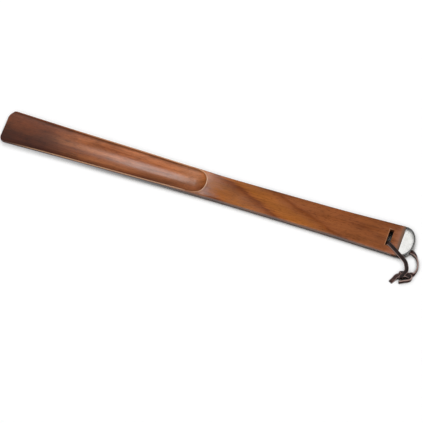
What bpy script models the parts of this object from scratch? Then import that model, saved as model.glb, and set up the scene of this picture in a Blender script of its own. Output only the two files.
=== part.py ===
"""Long wooden shoe horn with a polished metal end cap and a leather hanging thong.

The horn lies on its back on a table, the scoop facing up. X runs along it from the
scooped tip to the end cap, Z is up, and the origin is on the table, at mid length.
Sizes in the functions below are in millimetres and become metres in the meshes.
"""

import math

import bmesh
import bpy
import numpy as np
from mathutils import Vector

MM = 0.001

# Overall size
LENGTH = 480.0
TOP_Z = 8.2
TIP_X = -LENGTH / 2
APEX_X = LENGTH / 2

# Plan outline: half widths of the blade by distance from the tip, and of the handle by
# distance from the cap's apex
BLADE_HALF_WIDTHS = ((0.0, 20.9), (80.0, 18.8), (150.0, 17.6), (220.0, 15.9), (260.0, 15.5))
HANDLE_HALF_WIDTHS = ((150.0, 16.0), (90.0, 16.7), (35.0, 18.5), (14.0, 19.2))
TIP_CORNER_RADIUS = 9.0

# Cross-section of the blade and of the handle
TIP_THICKNESS = 2.0
BLADE_SIDE_HEIGHT = 2.4
BLADE_TOP_ROUND = 0.5
BLADE_KEEL_HALF_WIDTH = 3.0
HANDLE_TOP_ROUND = 1.5
HANDLE_BOTTOM_ROUND = 3.0
BLADE_LENGTH = 170.0
WAIST_LENGTH = 75.0
BELLY_LENGTH = 200.0
BELLY_POWER = 1.6
BLADE_END_X = TIP_X + BLADE_LENGTH
HANDLE_START_X = BLADE_END_X + WAIST_LENGTH
BELLY_END_X = TIP_X + BELLY_LENGTH

# Scoop
RIM_WIDTH = 1.0
SCOOP_LENGTH = 238.0
SCOOP_DEPTH = 5.4
SCOOP_TIP_DEPTH = 3.8
SCOOP_DEEPENING_LENGTH = 80.0
SCOOP_EXPONENT = 2.4
SCOOP_END_LENGTH = 16.0
SCOOP_RUNOUT_LENGTH = 14.0
SCOOP_END_STEP = 0.04
SCOOP_END_X = TIP_X + SCOOP_LENGTH

# End cap
CAP_DEPTH = 14.9
CAP_PLAN_EXPONENT = 2.1
JOINT_X = APEX_X - CAP_DEPTH
JOINT_GAP = 0.3

# The underside lifts near the cap, so that the thong can pass beneath it
UNDERSIDE_LIFT = 2.0
LIFT_LENGTH = 30.0
LIFT_TO_JOINT = 20.1
LIFT_END_X = JOINT_X - LIFT_TO_JOINT
LIFT_START_X = LIFT_END_X - LIFT_LENGTH

# Slot for the thong
SLOT_TO_JOINT = 13.5
SLOT_WIDTH = 4.3
SLOT_LENGTH = 20.2
SLOT_EDGE_CHAMFER = 0.6
SLOT_CUTTER_REACH = 1.0
SLOT_X = JOINT_X - SLOT_TO_JOINT

# Dowel pins
PIN_DIAMETER = 3.0
PIN_LENGTH = 20.0
PIN_IN_CAP = 7.0
PIN_SPREAD = 14.0
PIN_CLEARANCE = 0.3
PIN_SIDES = 24

# Thong: a flat leather lace
THONG_WIDTH = 4.5
THONG_THICKNESS = 1.4
THONG_CORNER = 0.35
THONG_STEP = 1.3
OBLIQUE_ROW_LIMIT = 1.3
SWING_Y = -7.4

# Points on the lace's surface at which its gap to itself is measured
GAP_POINTS_PER_SIDE = 6
GAP_MIN_RUN = 12.0
GAP_SEARCH_REACH = 8.0

# The knot lies on the table in front of the cap, at this distance from the slot. Its own
# frame has one axis along the core strand, one square to it toward the front, and Z.
KNOT_FROM_SLOT = 27.45
KNOT_Y = -37.15
KNOT_TURN = math.radians(18.8)

WOOD_COLOUR = (0.20, 0.072, 0.028, 1.0)
METAL_COLOUR = (0.78, 0.77, 0.75, 1.0)
STEEL_COLOUR = (0.62, 0.62, 0.62, 1.0)
LEATHER_COLOUR = (0.052, 0.024, 0.015, 1.0)


def clear_scene():
    """Removes whatever the scene holds at the start."""
    for item in list(bpy.data.objects):
        bpy.data.objects.remove(item, do_unlink=True)


def make_material(name, colour, roughness, metallic):
    """Makes one Principled material."""
    material = bpy.data.materials.new(name)
    material.use_nodes = True
    shader = material.node_tree.nodes["Principled BSDF"]
    shader.inputs["Base Color"].default_value = colour
    shader.inputs["Roughness"].default_value = roughness
    shader.inputs["Metallic"].default_value = metallic
    return material


def smooth_step(value, start, end):
    """Eases from 0 at start to 1 at end."""
    t = min(max((value - start) / (end - start), 0.0), 1.0)
    return t * t * (3.0 - 2.0 * t)


def blend(first, second, share):
    """Mixes two values."""
    return first + (second - first) * share


def loft(name, rings, material):
    """Skins closed rings of equal point count and closes both ends."""
    mesh = bpy.data.meshes.new(name)
    bm = bmesh.new()
    rows = [[bm.verts.new(Vector(point) * MM) for point in ring] for ring in rings]
    count = len(rows[0])
    for first, second in zip(rows, rows[1:]):
        for i in range(count):
            j = (i + 1) % count
            bm.faces.new((first[i], first[j], second[j], second[i]))
    bm.faces.new(rows[0][::-1])
    bm.faces.new(rows[-1])
    bmesh.ops.recalc_face_normals(bm, faces=bm.faces)
    bm.to_mesh(mesh)
    bm.free()
    mesh.materials.append(material)
    mesh.shade_smooth()
    mesh.set_sharp_from_angle(angle=math.radians(35.0))
    item = bpy.data.objects.new(name, mesh)
    bpy.context.collection.objects.link(item)
    return item


def cut(target, cutter):
    """Subtracts a cutter, which stays in the scene as a hidden guide."""
    cutter.hide_render = True
    cutter.display_type = "WIRE"
    modifier = target.modifiers.new("cut_" + cutter.name, "BOOLEAN")
    modifier.operation = "DIFFERENCE"
    modifier.solver = "EXACT"
    modifier.object = cutter


def monotone_curve(stations, x):
    """Reads a smooth curve without overshoot through (x, value) stations."""
    xs = [station[0] for station in stations]
    ys = [station[1] for station in stations]
    x = min(max(x, xs[0]), xs[-1])
    slopes = [(ys[i + 1] - ys[i]) / (xs[i + 1] - xs[i]) for i in range(len(xs) - 1)]
    tangents = [slopes[0]]
    for before, after in zip(slopes, slopes[1:]):
        same_way = before * after > 0
        tangents.append(2 * before * after / (before + after) if same_way else 0.0)
    tangents.append(slopes[-1])
    i = min(max(int(np.searchsorted(xs, x, side="right")) - 1, 0), len(xs) - 2)
    span = xs[i + 1] - xs[i]
    t = (x - xs[i]) / span
    start = (1 + 2 * t) * (1 - t) ** 2 * ys[i] + t * (1 - t) ** 2 * span * tangents[i]
    end = t * t * (3 - 2 * t) * ys[i + 1] + t * t * (t - 1) * span * tangents[i + 1]
    return start + end


def side_half_width(x):
    """Half width of the horn before the tip's corners are rounded off."""
    blade = [(TIP_X + distance, width) for distance, width in BLADE_HALF_WIDTHS]
    handle = [(APEX_X - distance, width) for distance, width in HANDLE_HALF_WIDTHS]
    return monotone_curve(blade + handle, x)


def trimmed_half_width(x):
    """Half width with the tip's rounded corners."""
    width = side_half_width(x)
    from_tip = x - TIP_X
    if from_tip >= TIP_CORNER_RADIUS:
        return width
    reach = TIP_CORNER_RADIUS - from_tip
    return width - TIP_CORNER_RADIUS + math.sqrt(TIP_CORNER_RADIUS**2 - reach**2)


def scoop_depth(x):
    """Depth of the scoop at mid width, without its run-out."""
    share = smooth_step(x, TIP_X, TIP_X + SCOOP_DEEPENING_LENGTH)
    return blend(SCOOP_TIP_DEPTH, SCOOP_DEPTH, share)


def belly_z(x):
    """Height of the underside at mid width."""
    if x < BELLY_END_X:
        tip_lift = TOP_Z - SCOOP_TIP_DEPTH - TIP_THICKNESS
        return tip_lift * ((BELLY_END_X - x) / BELLY_LENGTH) ** BELLY_POWER
    return UNDERSIDE_LIFT * smooth_step(x, LIFT_START_X, LIFT_END_X)


def body_section(x):
    """Closed section of the uncut wood at x: flat top, rounded edges, curved belly."""
    handle = smooth_step(x, BLADE_END_X, HANDLE_START_X)
    width = side_half_width(x)
    edge = trimmed_half_width(x)
    keel = belly_z(x)
    top_round = blend(BLADE_TOP_ROUND, HANDLE_TOP_ROUND, handle)
    side_low = blend(TOP_Z - BLADE_SIDE_HEIGHT, keel + HANDLE_BOTTOM_ROUND, handle)
    flat = blend(BLADE_KEEL_HALF_WIDTH, width - HANDLE_BOTTOM_ROUND, handle)
    half = []
    for angle in np.linspace(0.0, math.pi / 2, 5):
        y = edge - top_round + top_round * math.sin(angle)
        half.append((y, TOP_Z - top_round + top_round * math.cos(angle)))
    widest = math.asin(min(1.0, (edge - flat) / (width - flat)))
    for angle in np.linspace(widest, 0.0, 12):
        y = flat + (width - flat) * math.sin(angle)
        half.append((y, side_low - (side_low - keel) * math.cos(angle)))
    ring = half + [(-y, z) for y, z in reversed(half)]
    return [(x, y, z) for y, z in ring]


def body_stations():
    """Places of the body's sections, closer together where its outline turns."""
    corner = TIP_X + TIP_CORNER_RADIUS
    turns = np.linspace(0.0, math.pi / 2, 9)
    tip = [TIP_X + TIP_CORNER_RADIUS * (1.0 - math.cos(turn)) for turn in turns]
    blade = list(np.linspace(corner, BLADE_END_X, 14))[1:]
    waist = list(np.linspace(BLADE_END_X, HANDLE_START_X, 11))[1:]
    handle = list(np.linspace(HANDLE_START_X, LIFT_START_X, 12))[1:]
    lift = list(np.linspace(LIFT_START_X, LIFT_END_X, 9))[1:]
    return tip + blade + waist + handle + lift + [SLOT_X, JOINT_X]


def scoop_section(x, end_share):
    """Section of the scoop's cutter; end_share is 0 along the blade and 1 at its end."""
    shrink = (1.0 - end_share**SCOOP_EXPONENT) ** (1.0 / SCOOP_EXPONENT)
    half_width = (side_half_width(x) - RIM_WIDTH) * shrink
    past = max(0.0, x - (SCOOP_END_X - SCOOP_RUNOUT_LENGTH)) / SCOOP_RUNOUT_LENGTH
    depth = scoop_depth(x) * math.sqrt(1.0 - past**2)
    power = 2.0 / SCOOP_EXPONENT
    floor = []
    for angle in np.linspace(-math.pi / 2, math.pi / 2, 25):
        side = math.copysign(abs(math.sin(angle)) ** power, angle)
        floor.append((x, half_width * side, TOP_Z - depth * math.cos(angle) ** power))
    above = TOP_Z + SCOOP_DEPTH
    return floor + [(x, half_width, above), (x, -half_width, above)]


def scoop_stations():
    """Places of the scoop cutter's sections with their share of the rounded end."""
    start = SCOOP_END_X - SCOOP_END_LENGTH
    along = [(x, 0.0) for x in np.linspace(TIP_X - RIM_WIDTH, start, 26)]
    last = math.asin(1.0 - SCOOP_END_STEP / SCOOP_END_LENGTH)
    for turn in np.linspace(0.0, last, 12)[1:]:
        share = math.sin(turn)
        along.append((start + SCOOP_END_LENGTH * share, share))
    return along


def slot_section(z, grow):
    """Rectangle of the slot, grown on every side."""
    half_x = SLOT_WIDTH / 2 + grow
    half_y = SLOT_LENGTH / 2 + grow
    corners = ((-half_x, -half_y), (half_x, -half_y), (half_x, half_y), (-half_x, half_y))
    return [(SLOT_X + x, y, z) for x, y in corners]


def slot_cutter(material):
    """Cutter of the slot, flared at both faces for the chamfered edges."""
    past = SLOT_CUTTER_REACH
    flared = SLOT_EDGE_CHAMFER + past
    rings = [
        slot_section(UNDERSIDE_LIFT - past, flared),
        slot_section(UNDERSIDE_LIFT + SLOT_EDGE_CHAMFER, 0.0),
        slot_section(TOP_Z - SLOT_EDGE_CHAMFER, 0.0),
        slot_section(TOP_Z + past, flared),
    ]
    return loft("cutter_slot", rings, material)


def pin_ring(x, y, radius):
    """Circle about a pin's axis, which runs along X through the cap's mid thickness."""
    z = (TOP_Z + UNDERSIDE_LIFT) / 2
    turns = np.arange(PIN_SIDES) * (2 * math.pi / PIN_SIDES)
    return [(x, y + radius * math.cos(a), z + radius * math.sin(a)) for a in turns]


def pin_solid(name, y, grow, material):
    """Pin, or with grow the bore that clears it at its sides and ends."""
    radius = PIN_DIAMETER / 2 + grow
    end = JOINT_X + JOINT_GAP + PIN_IN_CAP
    return loft(name, [pin_ring(end - PIN_LENGTH - grow, y, radius),
                       pin_ring(end + grow, y, radius)], material)


def cap_layer(inset, z):
    """Half-round outline of the cap at height z, drawn in from the edge."""
    start = JOINT_X + JOINT_GAP
    half_width = side_half_width(JOINT_X) - inset
    depth = APEX_X - start - inset
    power = 2.0 / CAP_PLAN_EXPONENT
    outline = []
    for turn in np.linspace(-math.pi / 2, math.pi / 2, 41):
        side = math.copysign(abs(math.sin(turn)) ** power, turn)
        reach = max(math.cos(turn), 0.0) ** power
        outline.append((start + depth * reach, half_width * side, z))
    return outline


def build_cap(material, cutters):
    """Half-round cap with rounded edges and two blind bores for the pins."""
    rings = []
    for angle in np.linspace(0.0, math.pi / 2, 6):
        inset = HANDLE_BOTTOM_ROUND * (1.0 - math.sin(angle))
        rings.append(cap_layer(inset, UNDERSIDE_LIFT + HANDLE_BOTTOM_ROUND * (1.0 - math.cos(angle))))
    for angle in np.linspace(0.0, math.pi / 2, 5):
        inset = HANDLE_TOP_ROUND * (1.0 - math.cos(angle))
        rings.append(cap_layer(inset, TOP_Z - HANDLE_TOP_ROUND * (1.0 - math.sin(angle))))
    cap = loft("end_cap", rings, material)
    for cutter in cutters:
        cut(cap, cutter)
    return cap


def build_body(material, pin_cutters):
    """Wooden blade and handle in one, with the scoop, the slot and the bores."""
    body = loft("horn_body", [body_section(x) for x in body_stations()], material)
    rings = [scoop_section(x, share) for x, share in scoop_stations()]
    cut(body, loft("cutter_scoop", rings, material))
    cut(body, slot_cutter(material))
    for cutter in pin_cutters:
        cut(body, cutter)
    return body


def knot_point(along, front, z):
    """World place of a point given in the knot's own frame."""
    x = SLOT_X + KNOT_FROM_SLOT + along * math.cos(KNOT_TURN) + front * math.sin(KNOT_TURN)
    y = KNOT_Y + along * math.sin(KNOT_TURN) - front * math.cos(KNOT_TURN)
    return (x, y, z)


def slot_point(from_slot, y, z):
    """World place of a point given by its distance from the slot's middle."""
    return (SLOT_X + from_slot, y, z)


def knot_row(along, front, z):
    """World direction of a direction given in the knot's own frame."""
    here = np.array(knot_point(along, front, z))
    return tuple(here - np.array(knot_point(0.0, 0.0, 0.0)))


def thong_route():
    """The lace from one tail to the other: places, and the way its width lies there."""
    first_tail_and_core = [
        (knot_point(-14.6, 8.3, 1.0), knot_row(0.70, 0.71, 0.0)),
        (knot_point(-12.4, 6.1, 1.0), knot_row(0.70, 0.71, 0.0)),
        (knot_point(-10.2, 3.9, 1.3), knot_row(0.66, 0.75, 0.0)),
        (knot_point(-8.2, 1.9, 2.4), knot_row(0.40, 0.90, 0.0)),
        (knot_point(-5.6, 0.8, 2.95), knot_row(0.05, 1.0, 0.0)),
        (knot_point(-2.0, 0.6, 2.95), knot_row(0.0, 1.0, 0.0)),
        (knot_point(2.0, 0.6, 2.95), knot_row(0.0, 1.0, 0.0)),
        (knot_point(5.8, 0.5, 2.95), knot_row(0.1, 1.0, -0.15)),
        (knot_point(9.2, -0.1, 2.85), knot_row(0.2, 0.80, -0.60)),
    ]
    lower_leg = [
        (slot_point(38.0, -33.4, 2.7), (0.1, -0.3, -0.95)),
        (slot_point(39.4, -29.2, 2.6), (0.0, 0.0, -1.0)),
        (slot_point(39.7, -23.9, 2.6), (0.0, 0.0, -1.0)),
        (slot_point(38.2, -18.2, 2.6), (0.0, 0.0, -1.0)),
        (slot_point(35.8, -13.6, 2.5), (0.15, 0.1, -0.95)),
        (slot_point(32.3, -9.2, 2.0), (0.45, 0.50, -0.60)),
        (slot_point(28.0, -6.4, 1.05), (0.20, 0.98, -0.08)),
        (slot_point(23.0, -5.8, 1.0), (0.0, 1.0, 0.0)),
        (slot_point(13.4, -6.3, 1.0), (0.0, 1.0, 0.0)),
        (slot_point(4.2, -7.0, 1.0), (0.0, 1.0, 0.0)),
    ]
    through_the_slot = [
        (slot_point(1.8, -7.2, 1.3), (0.0, 1.0, 0.0)),
        (slot_point(0.5, -7.2, 2.6), (0.0, 1.0, 0.0)),
        (slot_point(0.0, -7.3, 4.4), (0.0, 1.0, 0.0)),
        (slot_point(-0.1, -7.4, 6.2), (0.0, 1.0, 0.0)),
        (slot_point(0.2, -7.6, 7.9), (0.1, 1.0, 0.0)),
        (slot_point(1.3, -8.2, 9.15), (0.35, 0.93, 0.0)),
    ]
    upper_leg = [
        (slot_point(3.6, -9.7, 9.4), (0.50, 0.85, 0.0)),
        (slot_point(8.4, -12.8, 9.3), (0.55, 0.83, 0.0)),
        (slot_point(13.2, -15.9, 9.25), (0.55, 0.83, 0.0)),
        (slot_point(16.6, -18.2, 9.2), (0.55, 0.83, 0.0)),
        (slot_point(19.7, -20.2, 8.95), (0.55, 0.83, 0.0)),
        (slot_point(22.8, -22.0, 8.1), (0.60, 0.80, 0.0)),
        (slot_point(25.6, -24.1, 7.1), (0.75, 0.66, 0.0)),
        (slot_point(27.5, -27.3, 6.6), (0.90, 0.43, 0.0)),
        (slot_point(29.0, -31.0, 6.6), (0.947, 0.322, 0.0)),
    ]
    wrap_and_second_tail = [
        (knot_point(2.8, -2.2, 6.75), knot_row(1.0, 0.0, 0.0)),
        (knot_point(0.7, 0.6, 6.8), knot_row(1.0, 0.0, 0.0)),
        (knot_point(-1.7, 2.9, 6.45), knot_row(1.0, 0.0, 0.0)),
        (knot_point(-2.8, 4.2, 5.2), knot_row(1.0, 0.0, 0.0)),
        (knot_point(-3.2, 4.5, 3.4), knot_row(1.0, 0.0, 0.0)),
        (knot_point(-3.2, 3.9, 1.75), knot_row(1.0, 0.0, 0.0)),
        (knot_point(-3.0, 2.4, 1.02), knot_row(1.0, 0.0, 0.0)),
        (knot_point(-3.0, 0.6, 1.0), knot_row(1.0, 0.0, 0.0)),
        (knot_point(-2.9, -1.5, 1.02), knot_row(1.0, 0.0, 0.0)),
        (knot_point(-2.6, -3.0, 1.75), knot_row(1.0, 0.0, 0.0)),
        (knot_point(-2.2, -3.4, 3.3), knot_row(1.0, 0.0, 0.0)),
        (knot_point(-1.5, -2.5, 4.6), knot_row(1.0, 0.0, 0.0)),
        (knot_point(-0.4, -0.8, 4.9), knot_row(1.0, 0.0, 0.0)),
        (knot_point(1.1, 0.5, 4.9), knot_row(1.0, 0.0, 0.0)),
        (knot_point(3.3, 1.6, 4.85), knot_row(0.95, -0.25, 0.0)),
        (knot_point(5.8, 2.7, 4.8), knot_row(0.80, -0.55, 0.15)),
        (knot_point(7.5, 3.8, 4.25), knot_row(0.55, -0.55, 0.60)),
        (knot_point(8.3, 5.5, 3.4), knot_row(0.30, -0.20, 0.90)),
        (knot_point(7.2, 7.1, 2.75), knot_row(0.05, 0.0, 1.0)),
        (knot_point(4.4, 7.9, 2.6), knot_row(0.0, 0.0, 1.0)),
        (knot_point(1.0, 8.3, 2.6), knot_row(0.0, 0.0, 1.0)),
        (knot_point(-2.4, 8.9, 2.6), knot_row(0.0, 0.0, 1.0)),
        (knot_point(-5.6, 9.5, 2.6), knot_row(0.0, 0.0, 1.0)),
    ]
    legs = first_tail_and_core + lower_leg + through_the_slot + upper_leg
    return legs + wrap_and_second_tail


def spline(points, knots, values):
    """Reads a smooth curve through points, each given at its own knot value."""
    points = np.array(points, float)
    knots = np.array(knots, float)
    chords = np.diff(points, axis=0) / np.diff(knots)[:, None]
    tangents = np.vstack([chords[:1], (chords[1:] + chords[:-1]) / 2, chords[-1:]])
    index = np.clip(np.searchsorted(knots, values, side="right") - 1, 0, len(knots) - 2)
    span = (knots[index + 1] - knots[index])[:, None]
    t = ((values - knots[index])[:, None]) / span
    start = (1 + 2 * t) * (1 - t) ** 2 * points[index]
    start += t * (1 - t) ** 2 * span * tangents[index]
    end = t * t * (3 - 2 * t) * points[index + 1]
    end += t * t * (t - 1) * span * tangents[index + 1]
    return start + end


def thong_sections():
    """Rounded-rectangle sections of the lace, square or oblique to its run."""
    route = thong_route()
    places = np.array([place for place, row in route])
    rows = np.array([row for place, row in route], float)
    rows /= np.linalg.norm(rows, axis=1)[:, None]
    steps = np.linalg.norm(np.diff(places, axis=0), axis=1)
    knots = np.concatenate([[0.0], np.cumsum(steps)])
    values = np.linspace(0.0, knots[-1], int(round(knots[-1] / THONG_STEP)) + 1)
    centres = spline(places, knots, values)
    across = spline(rows, knots, values)
    across /= np.linalg.norm(across, axis=1)[:, None]
    along = np.gradient(centres, axis=0)
    along /= np.linalg.norm(along, axis=1)[:, None]
    normal = np.cross(along, across)
    slant = np.linalg.norm(normal, axis=1)[:, None]
    normal /= slant
    stretch = np.minimum(1.0 / slant, OBLIQUE_ROW_LIMIT)
    half_width = THONG_WIDTH / 2
    half_thick = THONG_THICKNESS / 2
    inner_width = half_width - THONG_CORNER
    inner_thick = half_thick - THONG_CORNER
    outline = (
        (inner_width, half_thick), (-inner_width, half_thick),
        (-half_width, inner_thick), (-half_width, -inner_thick),
        (-inner_width, -half_thick), (inner_width, -half_thick),
        (half_width, -inner_thick), (half_width, inner_thick),
    )
    rings = [centres + across * stretch * w + normal * h for w, h in outline]
    return np.stack(rings, axis=1)


def least_gap_to_itself(rings):
    """Least distance between stretches of the lace that are apart along its run."""
    shares = np.linspace(0.0, 1.0, GAP_POINTS_PER_SIDE, endpoint=False)[:, None, None, None]
    sides = rings + (np.roll(rings, -1, axis=1) - rings) * shares
    points = np.moveaxis(sides, 0, 2).reshape(len(rings), -1, 3)
    apart = int(GAP_MIN_RUN / THONG_STEP)
    least = math.inf
    for i in range(len(points) - apart):
        later = points[i + apart:].reshape(-1, 3)
        here = points[i][:, None, :]
        near = later[np.linalg.norm(later - here[0], axis=1) < GAP_SEARCH_REACH]
        if len(near):
            least = min(least, np.linalg.norm(near - here, axis=2).min())
    return least


def build_thong(material):
    """The lace in one piece, turning about the upright line where it fills the slot."""
    rings = thong_sections()
    print("least gap of the lace to itself, mm:", round(float(least_gap_to_itself(rings)), 2))
    thong = loft("leather_thong", rings, material)
    axis = bpy.data.objects.new("thong_swing_axis", None)
    axis.location = (SLOT_X * MM, SWING_Y * MM, TOP_Z * MM)
    bpy.context.collection.objects.link(axis)
    thong.parent = axis
    thong.location = -axis.location
    return thong


def main():
    """Builds the four kinds of piece."""
    clear_scene()
    wood = make_material("varnished_walnut", WOOD_COLOUR, 0.3, 0.0)
    metal = make_material("polished_metal", METAL_COLOUR, 0.12, 1.0)
    steel = make_material("plain_steel", STEEL_COLOUR, 0.35, 1.0)
    leather = make_material("dark_leather", LEATHER_COLOUR, 0.55, 0.0)
    bores = []
    for side, y in (("near", -PIN_SPREAD), ("far", PIN_SPREAD)):
        pin_solid("dowel_pin_" + side, y, 0.0, steel)
        bores.append(pin_solid("cutter_bore_" + side, y, PIN_CLEARANCE, steel))
    build_body(wood, bores)
    build_cap(metal, bores)
    build_thong(leather)


main()
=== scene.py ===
# %% [markdown]
# # A long wooden shoe horn
# The real object is one board of varnished walnut with a hollowed blade, a half-round cap of
# polished metal on its end, and a flat leather thong knotted through a slot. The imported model
# gives the places. This lesson dresses it: each visible piece is a surface worked out with
# numpy, in metres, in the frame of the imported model.

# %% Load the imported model
import math

import bmesh
import bpy
import numpy as np
from mathutils import Matrix, Vector


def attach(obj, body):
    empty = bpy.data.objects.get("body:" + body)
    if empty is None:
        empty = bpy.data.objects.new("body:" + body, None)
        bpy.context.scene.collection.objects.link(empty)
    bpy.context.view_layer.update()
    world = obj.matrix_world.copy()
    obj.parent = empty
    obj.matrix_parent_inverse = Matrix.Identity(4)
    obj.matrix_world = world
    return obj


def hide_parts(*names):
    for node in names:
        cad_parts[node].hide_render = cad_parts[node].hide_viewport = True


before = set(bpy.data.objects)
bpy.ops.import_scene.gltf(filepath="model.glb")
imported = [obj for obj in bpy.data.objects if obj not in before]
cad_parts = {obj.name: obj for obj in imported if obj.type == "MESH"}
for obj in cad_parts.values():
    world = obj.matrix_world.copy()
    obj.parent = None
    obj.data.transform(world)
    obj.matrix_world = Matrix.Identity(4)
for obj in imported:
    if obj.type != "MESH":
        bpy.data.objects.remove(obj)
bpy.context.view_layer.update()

MM = 0.001

# %% [markdown]
# ## The camera
# The photograph was taken with a long lens from above and in front, so the horn's edges are
# almost parallel. Azimuth, elevation and scale were fitted to corners of the horn's top face,
# which lies 8.2 mm up. The camera's three axes come from the two angles, and the lens from the
# scale.

# %% Camera at the photograph's angle
CAMERA_AZIMUTH = math.radians(18.68)
CAMERA_ELEVATION = math.radians(60.305)
CAMERA_DISTANCE = 4.0
PIXELS_PER_METRE = 902.0
IMAGE_PIXELS = 423
SENSOR_MM = 36.0
VIEW_CENTRE = (0.00452, -0.03066)
TOP_Z = 8.2


def put_in_scene(name, data):
    """Makes an object that holds the data and links it to the scene."""
    item = bpy.data.objects.new(name, data)
    bpy.context.collection.objects.link(item)
    return item


level = math.cos(CAMERA_ELEVATION)
right = np.array([math.cos(CAMERA_AZIMUTH), math.sin(CAMERA_AZIMUTH), 0.0])
back = np.array([right[1] * level, -right[0] * level, math.sin(CAMERA_ELEVATION)])
up = np.cross(back, right)
aim = np.array([0.0, 0.0, TOP_Z * MM]) + right * VIEW_CENTRE[0] + up * VIEW_CENTRE[1]
lens = bpy.data.cameras.new("photo_camera")
lens.sensor_width = SENSOR_MM
lens.lens = PIXELS_PER_METRE * CAMERA_DISTANCE * SENSOR_MM / IMAGE_PIXELS
lens.clip_end = 20.0
camera = put_in_scene("photo_camera", lens)
turn = Matrix(np.column_stack([right, up, back]).tolist()).to_4x4()
camera.matrix_world = Matrix.Translation(Vector(aim + back * CAMERA_DISTANCE)) @ turn
bpy.context.scene.camera = camera
print("lens in mm", round(lens.lens, 1))

# %% [markdown]
# ## Patches
# A hard-surface piece is easiest to get right as a few patches: a grid of points where the
# surface curves, and one flat polygon where it is flat. The patches share their border
# points, so a weld closes them into one skin. A narrow flat strip beside each rounding keeps
# the shading of the flat faces flat.

# %% Helpers for patches
WELD = 2e-6
SMOOTH_ANGLE = math.radians(35.0)


def grid_patch(points, closed=False):
    """Quads between neighbouring rows and columns of an array of points."""
    rows, columns = points.shape[:2]
    index = np.arange(rows * columns).reshape(rows, columns)
    if closed:
        index = np.hstack([index, index[:, :1]])
    quads = np.stack([index[:-1, :-1], index[1:, :-1], index[1:, 1:], index[:-1, 1:]], axis=-1)
    return points.reshape(-1, 3), quads.reshape(-1, 4).tolist()


def flat_patch(points):
    """One polygon through a loop of points that lie in a plane."""
    points = np.asarray(points, float)
    return points, [list(range(len(points)))]


def points_at(x, y, z):
    """Stacks coordinates, given in mm, into points in metres."""
    return np.stack(np.broadcast_arrays(x, y, z), axis=-1) * MM


def quarter_turn(count):
    """Even angles from nothing to a quarter turn."""
    return np.linspace(0.0, math.pi / 2, count)


def make_piece(name, patches, body, hole_sides=0):
    """Welds patches into one skin, fills holes of so many sides and faces it outward."""
    starts = np.cumsum([0] + [len(points) for points, faces in patches])
    points = np.concatenate([points for points, faces in patches])
    faces = [[i + start for i in face]
             for start, patch in zip(starts, patches) for face in patch[1]]
    mesh = bpy.data.meshes.new(name)
    mesh.from_pydata(points.tolist(), [], faces)
    skin = bmesh.new()
    skin.from_mesh(mesh)
    bmesh.ops.remove_doubles(skin, verts=skin.verts, dist=WELD)
    if hole_sides:
        bmesh.ops.holes_fill(skin, edges=skin.edges, sides=hole_sides)
    bmesh.ops.recalc_face_normals(skin, faces=skin.faces)
    open_edges = sum(not edge.is_manifold for edge in skin.edges)
    skin.to_mesh(mesh)
    skin.free()
    mesh.shade_smooth()
    mesh.set_sharp_from_angle(angle=SMOOTH_ANGLE)
    piece = put_in_scene(name, mesh)
    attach(piece, body)
    print(name, len(mesh.polygons), "faces,", open_edges, "open edges")
    return piece


# %% [markdown]
# ## The thong's route
# The lace is one flat strip of leather. Its middle passes down through the slot. One leg runs
# under the cap and back to the knot on edge, the other falls over the near edge. In the knot
# the second leg goes once round the first, a half hitch, and both leave a short tail. A strip
# needs more than a line: at each point the route also says which way the strip's width lies.
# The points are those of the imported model.

# %% Points of the route
SLOT_X = 211.6
KNOT_ORIGIN = (239.05, -37.15, 0.0)
KNOT_TURN = math.radians(18.8)

# Each row: place along, toward the front and up, then the direction of the width
TAIL_AND_CORE = (
    (-14.6, 8.3, 1, 0.7, 0.71, 0),
    (-12.4, 6.1, 1, 0.7, 0.71, 0),
    (-10.2, 3.9, 1.3, 0.66, 0.75, 0),
    (-8.2, 1.9, 2.4, 0.4, 0.9, 0),
    (-5.6, 0.8, 2.95, 0.05, 1, 0),
    (-2, 0.6, 2.95, 0, 1, 0),
    (2, 0.6, 2.95, 0, 1, 0),
    (5.8, 0.5, 2.95, 0.1, 1, -0.15),
    (9.2, -0.1, 2.85, 0.2, 0.8, -0.6),
)
# Each row: place from the slot's middle in X, Y and Z, then the direction of the width
LOWER_LEG = (
    (38, -33.4, 2.7, 0.1, -0.3, -0.95),
    (39.4, -29.2, 2.6, 0, 0, -1),
    (39.7, -23.9, 2.6, 0, 0, -1),
    (38.2, -18.2, 2.6, 0, 0, -1),
    (35.8, -13.6, 2.5, 0.15, 0.1, -0.95),
    (32.3, -9.2, 2, 0.45, 0.5, -0.6),
    (28, -6.4, 1.05, 0.2, 0.98, -0.08),
    (23, -5.8, 1, 0, 1, 0),
    (13.4, -6.3, 1, 0, 1, 0),
    (4.2, -7, 1, 0, 1, 0),
    (1.8, -7.2, 1.3, 0, 1, 0),
    (0.5, -7.2, 2.6, 0, 1, 0),
    (0, -7.3, 4.4, 0, 1, 0),
)
UPPER_LEG = (
    (-0.1, -7.4, 6.2, 0, 1, 0),
    (0.2, -7.6, 7.9, 0.1, 1, 0),
    (1.3, -8.2, 9.15, 0.35, 0.93, 0),
    (3.6, -9.7, 9.4, 0.5, 0.85, 0),
    (8.4, -12.8, 9.3, 0.55, 0.83, 0),
    (13.2, -15.9, 9.25, 0.55, 0.83, 0),
    (16.6, -18.2, 9.2, 0.55, 0.83, 0),
    (19.7, -20.2, 8.95, 0.55, 0.83, 0),
    (22.8, -22, 8.1, 0.6, 0.8, 0),
    (25.6, -24.1, 7.1, 0.75, 0.66, 0),
    (27.5, -27.3, 6.6, 0.9, 0.43, 0),
    (29, -31, 6.6, 0.947, 0.322, 0),
)
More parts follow.
